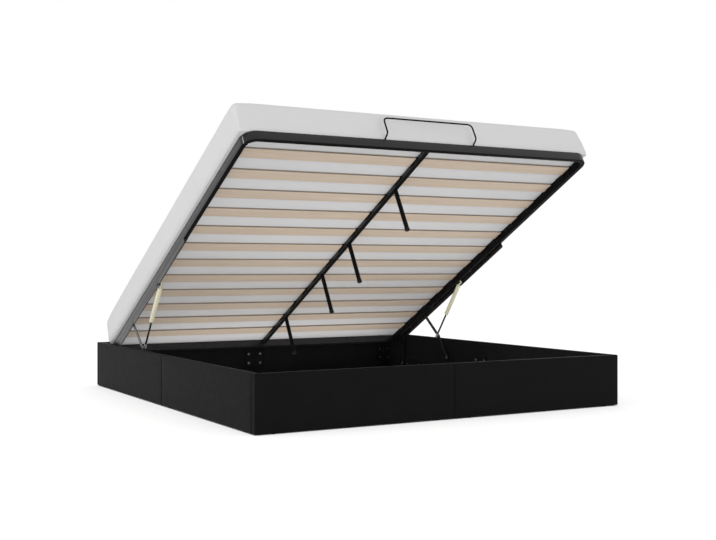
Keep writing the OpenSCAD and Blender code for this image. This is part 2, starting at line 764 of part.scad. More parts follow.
// A ring of the mattress: a rectangle with round corners, and a few points along each side
function corner_arc(inset, way_x, way_y, corner, start) =
    let (r = max(corner - inset, least_corner_r),
         x = way_x * (mattress_hw - inset - r), y = way_y * (mattress_hl - inset - r))
    [for (i = [0 : corner_steps]) let (a = start + 90 * i / corner_steps) [x + r * cos(a), y + r * sin(a)]];
function side_run(a, b) = [for (i = [1 : side_steps]) a + (b - a) * i / (side_steps + 1)];
function ring_points(inset) =
    let (arcs = [corner_arc(inset, 1, 1, mattress_rear_r, 0),
                 corner_arc(inset, -1, 1, mattress_rear_r, 90),
                 corner_arc(inset, -1, -1, mattress_front_r, 180),
                 corner_arc(inset, 1, -1, mattress_front_r, 270)])
    [for (k = [0 : 3]) each concat(arcs[k], side_run(arcs[k][corner_steps], arcs[(k + 1) % 4][0]))];

module mattress() {
    count = 4 * (corner_steps + 1 + side_steps);
    rings = len(mattress_rings);
    points = concat(
        [for (ring = mattress_rings) for (p = ring_points(ring[0])) [p[0], p[1], ring[1]]],
        [[0, 0, 0], [0, 0, mattress_t + mattress_crown]]);
    sides = [for (k = [0 : rings - 2], j = [0 : count - 1])
        let (a = k * count + j, b = k * count + (j + 1) % count)
        each [[a, a + count, b], [b, a + count, b + count]]];
    under = [for (j = [0 : count - 1]) [rings * count, j, (j + 1) % count]];
    over = [for (j = [0 : count - 1])
        let (a = (rings - 1) * count + j, b = (rings - 1) * count + (j + 1) % count)
        [rings * count + 1, b, a]];
    color(mattress_white) on_lid() translate([0, mattress_front + mattress_hl, tube_h])
        polyhedron(points = points, faces = concat(sides, under, over));
}

// ---- Lift arms, links and gas springs ----

// A flat part in the plane of the arms: children draw it with Y and Z as their own X and Y
module flat_part(left) {
    color(steel_black) on_hand(left) translate([arm_in, 0, 0]) rotate([90, 0, 90])
        linear_extrude(arm_t) children();
}

module strip(from, to, w) {
    run = to - from;
    translate(from) rotate(atan2(run[1], run[0])) translate([0, -w / 2]) square([norm(run), w]);
}

module arm(left) {
    base = [arm_base_y, arm_base_z];
    top = [arm_top_y, arm_top_z];
    flat_part(left) difference() {
        union() {
            translate(base) circle(r = elbow_r);
            translate(elbow) circle(r = elbow_r);
            translate(top) circle(r = joint_r);
            strip(base, elbow, arm_w);
            strip(elbow, top, arm_w);
        }
        translate(base) circle(r = pin_r + pin_clear);
        translate(top) circle(r = pin_r + pin_clear);
    }
}

module rear_link(left) {
    flat_part(left) difference() {
        union() {
            translate(link_base) circle(r = elbow_r);
            translate(link_open) circle(r = joint_r);
            strip(link_base, link_open, arm_w);
        }
        translate(link_base) circle(r = pin_r + pin_clear);
    }
    color(steel_black) on_hand(left)
        disc(rivet_r, arm_in - pin_head_t, arm_in + eps, link_open[0], link_open[1]);
}

// A gas spring's own axes: Z along it, from its upper pivot to the ball
module on_gas_spring(left) {
    on_hand(left) translate([gas_x, gas_top[0], gas_top[1]]) rotate([gas_angle - 90, 0, 0]) children();
}

module gas_cylinder(left) {
    bore = gas_r - gas_wall;
    mouth = rod_r + pin_clear;
    tail = eye_r + neck_l;
    floor_z = tail + gas_floor_t;
    color(cylinder_cream) on_gas_spring(left) difference() {
        union() {
            rotate_extrude() polygon([
                [0, tail], [gas_r, tail], [gas_r, gas_body_l], [mouth, gas_body_l],
                [mouth, gas_body_l - gland_l], [bore, gas_body_l - gland_l], [bore, floor_z], [0, floor_z]]);
            cylinder(r = eye_t / 2, h = tail + eps);
            disc(eye_r, -eye_t / 2, eye_t / 2);
        }
        disc(stud_r + pin_clear, -eye_t, eye_t);
    }
}

module gas_rod(left) {
    piston_top = gas_body_l - gland_l - piston_gap;
    color(rod_dark) on_gas_spring(left) {
        translate([0, 0, piston_top - piston_l])
            cylinder(r = gas_r - gas_wall - pin_clear, h = piston_l);
        translate([0, 0, piston_top - eps])
            cylinder(r = rod_r, h = gas_l - fitting_l + rod_screw_in - piston_top + eps);
    }
}

// Ball ends screwed on the rods, each with the stud that meets the arm
module gas_end_fittings() {
    color(steel_bare) for (left = [false, true]) on_gas_spring(left) difference() {
        union() {
            translate([0, 0, gas_l]) sphere(r = ball_r);
            translate([0, 0, gas_l - fitting_l]) cylinder(r = fitting_r, h = fitting_l);
            translate([0, 0, gas_l]) disc(stud_r, 0, gas_standoff - face_clear);
        }
        translate([0, 0, gas_l - fitting_l - eps]) cylinder(r = rod_r + pin_clear, h = rod_screw_in + eps);
    }
}

panel_cover("foot", -1);  // foot_cover_left
panel_cover("foot", 1);  // foot_cover_right
panel_cover("head", -1);  // head_cover_left
panel_cover("head", 1);  // head_cover_right
panel_cover("left", -1);  // left_cover_foot
panel_cover("left", 1);  // left_cover_head
panel_cover("right", -1);  // right_cover_foot
panel_cover("right", 1);  // right_cover_head
boards("foot");  // foot_boards
boards("head");  // head_boards
boards("left");  // left_boards
boards("right");  // right_boards
corner_brackets();
joint_plates();
panel_bolts();
glides();
lift_plate(true);  // lift_plate_left
lift_plate(false);  // lift_plate_right
base_pivots();
front_tube();
side_tube(true);  // tube_left
side_tube(false);  // tube_right
rear_tube();
spine_tube();
frame_joiners();
tube_plugs();
lift_bracket(true);  // lift_bracket_left
lift_bracket(false);  // lift_bracket_right
bracket_screws();
slat_holders();
leg_feet();
mattress_retainer();
mattress();
lid_pivots();
arm(true);  // arm_left
arm(false);  // arm_right
rear_link(true);  // rear_link_left
rear_link(false);  // rear_link_right
gas_cylinder(true);  // gas_cylinder_left
gas_cylinder(false);  // gas_cylinder_right
gas_rod(true);  // gas_rod_left
gas_rod(false);  // gas_rod_right
gas_end_fittings();
for (i = [1 : slat_rows]) slat_row(i);
for (i = [1 : len(leg_places)]) leg(i);
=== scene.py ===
"""Dresses the ottoman platform bed: upholstery, steel frame, slats, lift, mattress and studio."""
import json
import math

import bmesh
import bpy
from mathutils import Matrix, Vector, noise


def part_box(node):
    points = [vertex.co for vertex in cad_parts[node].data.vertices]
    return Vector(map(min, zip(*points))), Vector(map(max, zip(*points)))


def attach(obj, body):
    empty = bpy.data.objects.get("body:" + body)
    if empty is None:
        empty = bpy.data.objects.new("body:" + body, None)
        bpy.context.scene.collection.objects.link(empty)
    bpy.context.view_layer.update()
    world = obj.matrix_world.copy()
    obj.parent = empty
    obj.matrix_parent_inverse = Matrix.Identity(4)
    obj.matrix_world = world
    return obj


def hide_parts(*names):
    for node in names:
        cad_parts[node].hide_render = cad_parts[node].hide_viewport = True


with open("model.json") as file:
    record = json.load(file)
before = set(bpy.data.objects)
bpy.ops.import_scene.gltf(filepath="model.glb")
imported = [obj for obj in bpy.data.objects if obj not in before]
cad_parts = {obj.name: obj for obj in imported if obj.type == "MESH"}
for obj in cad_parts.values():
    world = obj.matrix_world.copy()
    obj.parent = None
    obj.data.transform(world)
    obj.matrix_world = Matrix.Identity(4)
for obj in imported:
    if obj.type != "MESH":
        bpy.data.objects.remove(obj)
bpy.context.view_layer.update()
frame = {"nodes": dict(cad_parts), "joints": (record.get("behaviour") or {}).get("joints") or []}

nodes = frame["nodes"]
joints = {j["name"]: j for j in frame["joints"]}

# ---- Sizes, in metres ----

BOX_W, BOX_L = 1.83, 2.05
LIFT_ANGLE = math.radians(29)
FRAME_SIDE = 0.8  # the lid's side tubes lie further out than this

# Places closer than TOUCHING are one, and a vector shorter than TINY has no direction
TOUCHING, TINY = 1e-6, 1e-9

# The lid's own axes: X as the box, Y back from the front edge, Z up from the tubes' underside
ARM_TOP_S, PIVOT_DROP = 1.6, 0.014
TUBE_H = 0.04
FRAME_L = 1.978

MATTRESS_HALF_W, MATTRESS_HALF_L = 0.9, 1.0
MATTRESS_FRONT, MATTRESS_T, MATTRESS_CROWN = 0.01, 0.152, 0.005
LOW_EDGE_R, FRONT_LOW_R, TOP_EDGE_R, REAR_TOP_R = 0.034, 0.014, 0.020, 0.050
FRONT_CORNER_R, FRONT_TIP_R, REAR_CORNER_R, LEAST_CORNER_R = 0.015, 0.026, 0.075, 0.008
PIPING_R = 0.0016
QUILT = 0.2

SLAT_ROWS, SLAT_FRONT, SLAT_REAR, SLAT_W = 12, 0.112, 0.126, 0.066
SLAT_PITCH = (FRAME_L - SLAT_FRONT - SLAT_REAR - SLAT_W) / (SLAT_ROWS - 1)

arm_top = Vector(joints["lid_lift"]["pos_m"])
LID = (Matrix.Translation(arm_top) @ Matrix.Rotation(-LIFT_ANGLE, 4, "X")
       @ Matrix.Translation((0, -ARM_TOP_S, PIVOT_DROP)))
LIFTED = Vector((0, MATTRESS_FRONT + MATTRESS_HALF_L, TUBE_H))
LID_BACK = LID.to_3x3() @ Vector((0, 1, 0))
LID_DOWN = LID.to_3x3() @ Vector((0, 0, -1))
ALONG_LID = (LIFT_ANGLE, 0, 0)  # turns a texture onto the lid's axes


# ---- Camera ----

CAMERA_PLACE = Vector((-2.6127, -4.7557, 0.6291))
CAMERA_YAW, CAMERA_PITCH = 0.5219, -0.001
CAMERA_LENS = 54.495


def add_camera():
    data = bpy.data.cameras.new("camera")
    data.lens = CAMERA_LENS
    data.sensor_width = 36
    data.clip_end = 100
    camera = bpy.data.objects.new("camera", data)
    camera.location = CAMERA_PLACE
    camera.rotation_euler = (math.pi / 2 + CAMERA_PITCH, 0, -CAMERA_YAW)
    bpy.context.scene.collection.objects.link(camera)
    bpy.context.scene.camera = camera


# ---- Materials ----


class Nodes:
    """A material's node tree, with short calls for the nodes that this script uses."""

    def __init__(self, name):
        self.material = bpy.data.materials.new(name)
        self.material.use_nodes = True
        self.tree = self.material.node_tree
        self.shader = self.tree.nodes["Principled BSDF"]
        self.output = self.tree.nodes["Material Output"]

    def add(self, kind, **values):
        made = self.tree.nodes.new(kind)
        for key, value in values.items():
            if hasattr(made, key):
                setattr(made, key, value)
            else:
                made.inputs[key.replace("_", " ")].default_value = value
        return made

    def link(self, source, target):
        self.tree.links.new(source, target)

    def feed(self, socket, value):
        """Gives a socket an output, a colour or a number."""
        if isinstance(value, bpy.types.NodeSocket):
            self.link(value, socket)
        elif hasattr(value, "__len__"):
            socket.default_value = (*value, 1)
        else:
            socket.default_value = value

    def place(self, scale=(1, 1, 1), turn=(0, 0, 0)):
        """Object coordinates, scaled and turned."""
        mapping = self.add("ShaderNodeMapping")
        mapping.inputs["Scale"].default_value = scale
        mapping.inputs["Rotation"].default_value = turn
        self.link(self.add("ShaderNodeTexCoord").outputs["Object"], mapping.inputs["Vector"])
        return mapping.outputs["Vector"]

    def noise(self, vector, scale, detail=4, roughness=0.5):
        made = self.add("ShaderNodeTexNoise", Scale=scale, Detail=detail, Roughness=roughness)
        self.link(vector, made.inputs["Vector"])
        return made.outputs["Fac"]

    def ramp(self, value, *stops):
        """A colour ramp. Stops are (place, colour), and a colour is one or three numbers."""
        made = self.add("ShaderNodeValToRGB")
        elements = made.color_ramp.elements
        while len(elements) < len(stops):
            elements.new(0.5)
        for element, (at, colour) in zip(elements, stops):
            element.position = at
            rgb = colour if hasattr(colour, "__len__") else (colour,) * 3
            element.color = (*rgb, 1)
        self.link(value, made.inputs["Fac"])
        return made.outputs["Color"]

    def between(self, fac, low, high):
        """Spreads a noise over the values or colours from low to high."""
        return self.ramp(fac, (0.3, low), (0.7, high))

    def mix(self, share, a, b, blend="MIX"):
        """Mixes two colours, each an output or three numbers. The share is an output or a number."""
        made = self.add("ShaderNodeMix", data_type="RGBA", blend_type=blend)
        for index, value in ((0, share), (6, a), (7, b)):
            self.feed(made.inputs[index], value)
        return made.outputs[2]

    def bump(self, height, strength, distance, onto=None):
        made = self.add("ShaderNodeBump", Strength=strength, Distance=distance)
        self.link(height, made.inputs["Height"])
        if onto:
            self.link(onto, made.inputs["Normal"])
        return made.outputs["Normal"]

    def math(self, operation, a, b=0.0):
        made = self.add("ShaderNodeMath", operation=operation)
        for socket, value in zip(made.inputs, (a, b)):
            self.feed(socket, value)
        return made.outputs[0]

    def apart(self):
        """The three object coordinates, each without its sign."""
        size = self.add("ShaderNodeVectorMath", operation="ABSOLUTE")
        self.link(self.place(), size.inputs[0])
        split = self.add("ShaderNodeSeparateXYZ")
        self.link(size.outputs[0], split.inputs[0])
        return split.outputs

    def facing(self, direction):
        """How far the surface faces a direction of the object's own, from -1 to 1."""
        along = self.add("ShaderNodeVectorMath", operation="DOT_PRODUCT")
        self.link(self.add("ShaderNodeTexCoord").outputs["Normal"], along.inputs[0])
        along.inputs[1].default_value = direction
        return along.outputs["Value"]

    def set(self, **values):
        """Sets the shader's sockets, to a number, a colour or an output."""
        for key, value in values.items():
            self.feed(self.shader.inputs[key.replace("_", " ")], value)


def leather():
    """Black faux leather: fine pores between creases, and a faint unevenness of the padding."""
    m = Nodes("black_faux_leather")
    at = m.place()
    grain = m.add("ShaderNodeTexVoronoi", feature="DISTANCE_TO_EDGE", Scale=620)
    m.link(at, grain.inputs["Vector"])
    creases = m.ramp(grain.outputs["Distance"], (0.0, 0.0), (0.12, 1.0))
    cloud = m.noise(at, 9, 5)
    m.set(Base_Color=m.mix(cloud, (0.0072, 0.0072, 0.0074), (0.0098, 0.0098, 0.0100)),
          Roughness=m.between(m.noise(at, 34, 4), 0.50, 0.56),
          Specular_IOR_Level=0.03,
          Normal=m.bump(m.noise(at, 5, 3), 0.2, 0.004, m.bump(creases, 0.3, 0.0002)))
    return m.material


def powder_coat(name, shine, roughness):
    """Black powder coat with its orange peel."""
    m = Nodes(name)
    at = m.place()
    peel = m.noise(at, 900, 2)
    m.set(Base_Color=m.mix(m.noise(at, 14, 3), (0.0040, 0.0040, 0.0042), (0.0075, 0.0075, 0.0078)),
          Roughness=m.between(m.noise(at, 40, 4), roughness - 0.05, roughness + 0.05),
          Specular_IOR_Level=shine,
          Normal=m.bump(peel, 0.18, 0.0002))
    return m.material


def zinc(name, dark, light):
    """Zinc-plated steel with faint spangle and scuffs."""
    m = Nodes(name)
    at = m.place()
    m.set(Base_Color=m.mix(m.noise(at, 210, 4), dark, light),
          Metallic=1.0,
          Roughness=m.between(m.noise(at, 160, 5), 0.26, 0.42),
          Normal=m.bump(m.noise(at, 700, 3), 0.1, 0.0002))
    return m.material


def plastic():
    """Black moulded plastic with a fine spark-eroded texture."""
    m = Nodes("black_moulded_plastic")
    at = m.place()
    m.set(Base_Color=m.mix(m.noise(at, 60, 3), (0.008, 0.008, 0.008), (0.013, 0.013, 0.013)),
          Specular_IOR_Level=0.12,
          Roughness=m.between(m.noise(at, 300, 3), 0.46, 0.6),
          Normal=m.bump(m.noise(at, 1400, 2), 0.2, 0.0001))
    return m.material


def slat_wood():
    """Pale laminated slats: grain and pores along X, a tone of each slat's own, and ply edges, dark
    partly from their plies and partly as painted shade of the gap under the mattress.
    """
    m = Nodes("laminated_birch")
    grain = m.noise(m.place((2.2, 120, 120), ALONG_LID), 1.0, 8, 0.62)
    pores = m.noise(m.place((26, 900, 900), ALONG_LID), 1.0, 3, 0.6)
    tone = m.noise(m.place((0.35, 3.4, 0.4), ALONG_LID), 1.6, 2)
    wood = m.ramp(grain, (0.30, (0.620, 0.490, 0.373)), (0.52, (0.712, 0.581, 0.461)),
                  (0.74, (0.779, 0.652, 0.530)))
    toned = m.mix(m.ramp(tone, (0.35, 0.0), (0.65, 0.42)), wood, (0.742, 0.625, 0.509))
    face = m.mix(m.ramp(pores, (0.30, 0.28), (0.46, 0.0)), toned, (0.44, 0.33, 0.24))
    # The front and rear edges take a dark ply colour: partly the plies' own tone, partly painted shade
    # of the gap under the mattress.
    edge = m.ramp(m.math("ABSOLUTE", m.facing(LID_BACK)), (0.45, 0.0), (0.75, 1.0))
    layers = m.noise(m.place((3, 60, 900), ALONG_LID), 1.0, 3)
    plies_and_painted_shade = m.mix(layers, (0.215, 0.178, 0.141), (0.335, 0.280, 0.225))
    m.set(Base_Color=m.mix(edge, face, plies_and_painted_shade),
          Roughness=m.between(grain, 0.46, 0.60),
          Specular_IOR_Level=0.35,
          Normal=m.bump(grain, 0.12, 0.0006, m.bump(pores, 0.15, 0.0003)))
    return m.material


def fibreboard():
    """Raw brown board with coarse fibres."""
    m = Nodes("raw_fibreboard")
    at = m.place()
    m.set(Base_Color=m.between(m.noise(at, 260, 6, 0.7), (0.22, 0.14, 0.08), (0.40, 0.28, 0.17)),
          Roughness=m.between(m.noise(at, 80, 3), 0.8, 0.92),
          Normal=m.bump(m.noise(at, 700, 4), 0.4, 0.0006))
    return m.material


def mattress_cloth():
    """White knitted ticking: rows of small stitches, and a soft unevenness of the cover."""
    m = Nodes("white_knitted_cover")
    rows = m.add("ShaderNodeTexWave", wave_type="BANDS", bands_direction="X",
                 Scale=150, Distortion=1.2, Detail=2)
    m.link(m.place(turn=ALONG_LID), rows.inputs["Vector"])
    wales = m.add("ShaderNodeTexWave", wave_type="BANDS", bands_direction="DIAGONAL",
                  Scale=190, Distortion=0.8)
    m.link(m.place((0.2, 1, 1), ALONG_LID), wales.inputs["Vector"])
    knit = m.mix(0.5, rows.outputs["Color"], wales.outputs["Color"], "MULTIPLY")
    at = m.place()
    on_lid = m.add("ShaderNodeVectorMath", operation="SUBTRACT")
    m.link(at, on_lid.inputs[0])
    on_lid.inputs[1].default_value = LID @ LIFTED
    stitch_lines = []
    for side in (-1, 1):
        across = m.add("ShaderNodeVectorMath", operation="DOT_PRODUCT")
        m.link(on_lid.outputs[0], across.inputs[0])
        across.inputs[1].default_value = (Vector((side, 0, 0)) + LID_BACK) * math.pi / QUILT
        stitch_lines.append(m.math("ABSOLUTE", m.math("SINE", across.outputs["Value"])))
    stitched = m.ramp(m.math("MINIMUM", *stitch_lines), (0.0, 0.0), (0.12, 0.8), (0.3, 1.0))
    above = m.ramp(m.facing(-LID_DOWN), (0.90, 0.0), (0.97, 1.0))
    quilt = m.mix(above, (1, 1, 1), stitched)
    m.set(Base_Color=m.mix(m.noise(at, 5, 5), (0.765, 0.765, 0.772), (0.815, 0.815, 0.818)),
          Roughness=0.92,
          Specular_IOR_Level=0.2,
          Sheen_Weight=0.12,
          Sheen_Roughness=0.5,
          Normal=m.bump(m.noise(at, 11, 4), 0.22, 0.008,
                        m.bump(quilt, 0.6, 0.003, m.bump(knit, 0.35, 0.0006))))
    return m.material


def cream_paint():
    """Gloss paint of the gas cylinders."""
    m = Nodes("cream_gloss_paint")
    at = m.place()
    m.set(Base_Color=m.mix(m.noise(at, 30, 3), (0.84, 0.81, 0.58), (0.88, 0.85, 0.64)),
          Roughness=m.between(m.noise(at, 90, 3), 0.22, 0.32),
          Coat_Weight=0.4,
          Coat_Roughness=0.08,
          Normal=m.bump(m.noise(at, 500, 2), 0.06, 0.0002))
    return m.material


def rod_steel():
    """Dark, polished steel of the gas rods."""
    m = Nodes("nitrided_rod")
    at = m.place()
    m.set(Base_Color=m.mix(m.noise(at, 120, 3), (0.020, 0.020, 0.022), (0.040, 0.040, 0.043)),
          Metallic=0.6,
          Roughness=m.between(m.noise(at, 200, 3), 0.16, 0.26),
          Normal=m.bump(m.noise(at, 900, 2), 0.05, 0.0001))
    return m.material


# ---- Mesh helpers ----

CROWDING = 1.5  # how strongly the places of a rounded edge gather at its rim
KEY_DIGITS = 7


def new_object(name, mesh, material, smooth=True):
    made = bpy.data.objects.new(name, mesh)
    bpy.context.scene.collection.objects.link(made)
    mesh.materials.append(material)
    if smooth:
        mesh.polygons.foreach_set("use_smooth", [True] * len(mesh.polygons))
    return made


def spaced(low, high, edges, arc_steps, inner_steps):
    """Places from low to high, ever closer together within the two edges' widths."""
    first, last = edges
    steps = [(k / arc_steps) ** CROWDING for k in range(arc_steps)]
    inner = [low + first + (high - last - low - first) * k / inner_steps
             for k in range(inner_steps + 1)]
    return [low + first * k for k in steps] + inner + [high - last * k for k in reversed(steps)]


def box_surface(xs, ys, zs):
    """A closed mesh over a box, with its vertices on the grid of the given places."""
    made = bmesh.new()
    found = {}

    def vertex(x, y, z):
        key = (round(x, KEY_DIGITS), round(y, KEY_DIGITS), round(z, KEY_DIGITS))
        if key not in found:
            found[key] = made.verts.new(key)
        return found[key]

    def sheet(us, vs, point, flip):
        for a, b in zip(us, us[1:]):
            for c, d in zip(vs, vs[1:]):
                corners = [vertex(*point(u, v)) for u, v in ((a, c), (b, c), (b, d), (a, d))]
                made.faces.new(corners[::-1] if flip else corners)

    for z, flip in ((zs[0], True), (zs[-1], False)):
        sheet(xs, ys, lambda u, v, z=z: (u, v, z), flip)
    for y, flip in ((ys[0], False), (ys[-1], True)):
        sheet(xs, zs, lambda u, v, y=y: (u, y, v), flip)
    for x, flip in ((xs[0], True), (xs[-1], False)):
        sheet(ys, zs, lambda u, v, x=x: (x, u, v), flip)
    return made


def to_mesh(made, name):
    mesh = bpy.data.meshes.new(name)
    made.to_mesh(mesh)
    made.free()
    return mesh


def softened(point, low, high, radius):
    """A point of a box's surface, moved onto the same box with rounded edges and corners."""
    inner = Vector([min(max(p, a + radius), b - radius) for p, a, b in zip(point, low, high)])
    out = point - inner
    return inner + out.normalized() * radius if out.length > TINY else point


# ---- Upholstered panels ----

COVER_EDGE_R = 0.0045
COVER_ARC_STEPS, COVER_GRID = 4, 0.014
COVER_CROWN, COVER_FADE = 0.0013, 0.011
RIPPLES = ((0.10, 7), (0.04, 21))  # share of the crown, waves
SEAM_SPARE = 0.00003


def cover_piece(name, material):
    """One half panel's cover, full over its padding, with round edges and a tight seam in the middle."""
    low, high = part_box(name)
    thin = 0 if high.x - low.x < high.y - low.y else 1
    seam_end = high if abs(high[1 - thin]) < abs(low[1 - thin]) else low
    seam_end[1 - thin] = math.copysign(SEAM_SPARE, seam_end[1 - thin])
    edges = (COVER_EDGE_R, COVER_EDGE_R)
    steps = [spaced(a, b, edges, COVER_ARC_STEPS, max(2, round((b - a) / COVER_GRID)))
             for a, b in zip(low, high)]
    made = box_surface(*steps)
    outer = 1 if low[thin] + high[thin] > 0 else -1
    face = high[thin] if outer > 0 else low[thin]
    along = 1 - thin
    for v in made.verts:
        start = v.co.copy()
        v.co = softened(start, low, high, COVER_EDGE_R)
        if abs(start[thin] - face) < TOUCHING:
            rims = (start[along] - low[along], high[along] - start[along],
                    start.z - low.z, high.z - start.z)
            full = math.prod(1 - math.exp(-max(d - COVER_EDGE_R, 0) / COVER_FADE) for d in rims)
            ripple = sum(share * noise.noise(start * waves) for share, waves in RIPPLES)
            v.co[thin] += outer * COVER_CROWN * full * (1 + ripple)
    cover = new_object("cover_" + name, to_mesh(made, name), material)
    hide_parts(name)
    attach(cover, "base")


# ---- Mattress ----

EDGE_ZONE = 0.08
EDGE_STEPS, WIDTH_STEPS, LENGTH_STEPS = 9, 74, 82
ARC_STEPS, HEIGHT_STEPS = 5, 8
END_BLEND = 12  # how late the front's and the rear's own edge radius sets in
INNER_CORNER_R = 0.0005
SWELL_LOW, SWELL_HIGH = 0.0008, 0.0045  # the most that the cloth may move a point
CORNER_DROOP, CORNER_REACH = 0.008, 0.09
QUILT_RISE, PRINT_DEPTH = 0.003, 0.0014
BROAD_FOLD, FINE_FOLD = 0.0009, 0.0005
RIM_START, RIM_BAND = 0.94, 0.06  # the sides' folds, as shares of the half width or length
CLOTH_FRAMES = 20


def mattress_point(p):
    """A point of the plain block, moved onto the mattress: round corners in plan and round edges."""
    half_w, half_l, t = MATTRESS_HALF_W, MATTRESS_HALF_L, MATTRESS_T
    upper = p.z > t / 2
    if upper:
        edge_r = TOP_EDGE_R + (REAR_TOP_R - TOP_EDGE_R) * max(0.0, p.y / half_l) ** END_BLEND
    else:
        edge_r = LOW_EDGE_R + (FRONT_LOW_R - LOW_EDGE_R) * max(0.0, -p.y / half_l) ** END_BLEND
    depth = min(half_w - abs(p.x), half_l - abs(p.y))
    rise = min(p.z, t - p.z)
    inset = depth
    if max(depth, rise) < edge_r:
        arc = Vector((edge_r - depth, edge_r - rise)).normalized() * edge_r
        inset, rise = edge_r - arc.x, edge_r - arc.y
    u = p.x / max(half_w - depth, TOUCHING)
    v = p.y / max(half_l - depth, TOUCHING)
    least = LEAST_CORNER_R if inset < LOW_EDGE_R else INNER_CORNER_R
    tip = FRONT_CORNER_R + (FRONT_TIP_R - FRONT_CORNER_R) * max(0.0, 2 * p.z / t - 1)
    corner = max((tip if p.y < 0 else REAR_CORNER_R) - inset, least)
    w, l = max(half_w - inset, corner), max(half_l - inset, corner)
    flat = Vector((u * w, v * l))
    inner = Vector((min(max(flat.x, corner - w), w - corner),
                    min(max(flat.y, corner - l), l - corner)))
    out = flat - inner
    if out.length > TINY:
        flat = inner + out.normalized() * corner
    return Vector((flat.x, flat.y, t - rise if upper else rise))


def quilting(p):
    """0 on the top panel's diamond stitch lines, up to 1 between them."""
    rise = min(abs(math.sin(math.pi * along / QUILT)) for along in (p.x + p.y, p.x - p.y))
    return math.sqrt(rise)


def inflate(piece, resting):
    """Blows the cover up a little with the cloth solver, and gives where its points end up."""
    rests = piece.vertex_groups.new(name="rests")
    rests.add(resting, 1.0, "REPLACE")
    cloth = piece.modifiers.new("cloth", "CLOTH")
    cloth.settings.quality = 5
    cloth.settings.mass = 0.4
    cloth.settings.tension_stiffness = cloth.settings.compression_stiffness = 20
    cloth.settings.shear_stiffness = 8
    cloth.settings.bending_stiffness = 2
    cloth.settings.shrink_min = -0.006
    cloth.settings.use_pressure = True
    cloth.settings.uniform_pressure_force = 4
    cloth.settings.effector_weights.gravity = 0
    cloth.settings.vertex_group_mass = rests.name
    cloth.collision_settings.use_collision = False
    cloth.point_cache.frame_start, cloth.point_cache.frame_end = 1, CLOTH_FRAMES
    for number in range(1, CLOTH_FRAMES + 1):
        bpy.context.scene.frame_set(number)
    solved = piece.evaluated_get(bpy.context.evaluated_depsgraph_get()).to_mesh()
    places = [v.co.copy() for v in solved.vertices]
    piece.modifiers.remove(cloth)
    piece.vertex_groups.remove(rests)
    bpy.context.scene.frame_set(1)
    return places


def mattress_swell(p):
    """How the cover departs from the block: crown, quilting, droop, side folds and the slats' print."""
    u, v, h = p.x / MATTRESS_HALF_W, p.y / MATTRESS_HALF_L, p.z / MATTRESS_T
    upper, near_top, near_bottom = (max(0.0, share) for share in (2 * h - 1, 10 * h - 9, 1 - 5 * h))
    inside = max(0.0, (1 - u ** 8) * (1 - v ** 8))
    row = (p.y + MATTRESS_HALF_L + MATTRESS_FRONT - SLAT_FRONT - SLAT_W / 2) / SLAT_PITCH
    between = 0.5 - 0.5 * math.cos(2 * math.pi * (row - round(row)))
    lift = MATTRESS_CROWN * (1 - u * u) * (1 - v * v) * upper
    lift += QUILT_RISE * quilting(p) * inside * near_top
    lift -= PRINT_DEPTH * between * near_bottom * inside
    to_corner = math.hypot(MATTRESS_HALF_W - abs(p.x), MATTRESS_HALF_L + p.y)
    lift -= CORNER_DROOP * max(0.0, 1 - to_corner / CORNER_REACH) * upper
    side = 1 - abs(2 * h - 1) ** 3
    folds = BROAD_FOLD * noise.noise(Vector((p.x * 9, p.y * 9, p.z * 3)))
    folds += FINE_FOLD * noise.noise(Vector((p.x * 34, p.y * 34, p.z * 9)))
    outward = [math.copysign(max(0.0, abs(k) - RIM_START) / RIM_BAND, k) for k in (u, v)]
    return Vector((0, 0, lift)) + Vector((*outward, 0)) * folds * side


def edge_piping(name, points, material):
    """The cord sewn into the cover's edge, half sunk in it."""
    middle = sum(points, Vector()) / len(points)
    around = sorted(points, key=lambda p: math.atan2(p.x - middle.x, p.y - middle.y))
    curve = bpy.data.curves.new(name, "CURVE")
    curve.dimensions = "3D"
    curve.bevel_depth = PIPING_R
    curve.bevel_resolution = 2
    spline = curve.splines.new("POLY")
    spline.points.add(len(around) - 1)
    for point, place in zip(spline.points, around):
        point.co = (*(LID @ place), 1)
    spline.use_cyclic_u = True
    curve.materials.append(material)
    piping = bpy.data.objects.new(name, curve)
    bpy.context.scene.collection.objects.link(piping)
    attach(piping, "lid")


def add_mattress(material):
    """The mattress's cover, blown up over its block, and the piping along its edges."""
    half_w, half_l, t = MATTRESS_HALF_W, MATTRESS_HALF_L, MATTRESS_T
    zone = (EDGE_ZONE, EDGE_ZONE)
    made = box_surface(spaced(-half_w, half_w, zone, EDGE_STEPS, WIDTH_STEPS),
                       spaced(-half_l, half_l, zone, EDGE_STEPS, LENGTH_STEPS),
                       spaced(0, t, (LOW_EDGE_R, TOP_EDGE_R), ARC_STEPS, HEIGHT_STEPS))
    made.verts.index_update()
    rims = {"top": [], "bottom": []}
    resting = []
    for v in made.verts:
        depth = min(half_w - abs(v.co.x), half_l - abs(v.co.y))
        if v.co.z < TOUCHING and depth > LOW_EDGE_R:
            resting.append(v.index)
        if depth < TOUCHING and (v.co.z < TOUCHING or v.co.z > t - TOUCHING):
            rims["top" if v.co.z > t / 2 else "bottom"].append(v.index)
        v.co = mattress_point(v.co)
    block = new_object("mattress_body", to_mesh(made, "mattress_body"), material)
    starts = [v.co.copy() for v in block.data.vertices]
    places = inflate(block, resting)
    finals = []
    for start, place in zip(starts, places):
        height = min(max((start.z - LOW_EDGE_R) / (t / 2), 0.0), 1.0)
        most = SWELL_LOW + (SWELL_HIGH - SWELL_LOW) * height
        move = place - start
        if move.length > most:
            move *= most / move.length
        finals.append(start + move + mattress_swell(start))
    for v, final in zip(block.data.vertices, finals):
        v.co = LID @ (final + LIFTED)
    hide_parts("mattress")
    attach(block, "lid")
    for name, rim in rims.items():
        edge_piping("mattress_piping_" + name, [finals[k] + LIFTED for k in rim], material)


# ---- CAD nodes that keep their shape ----

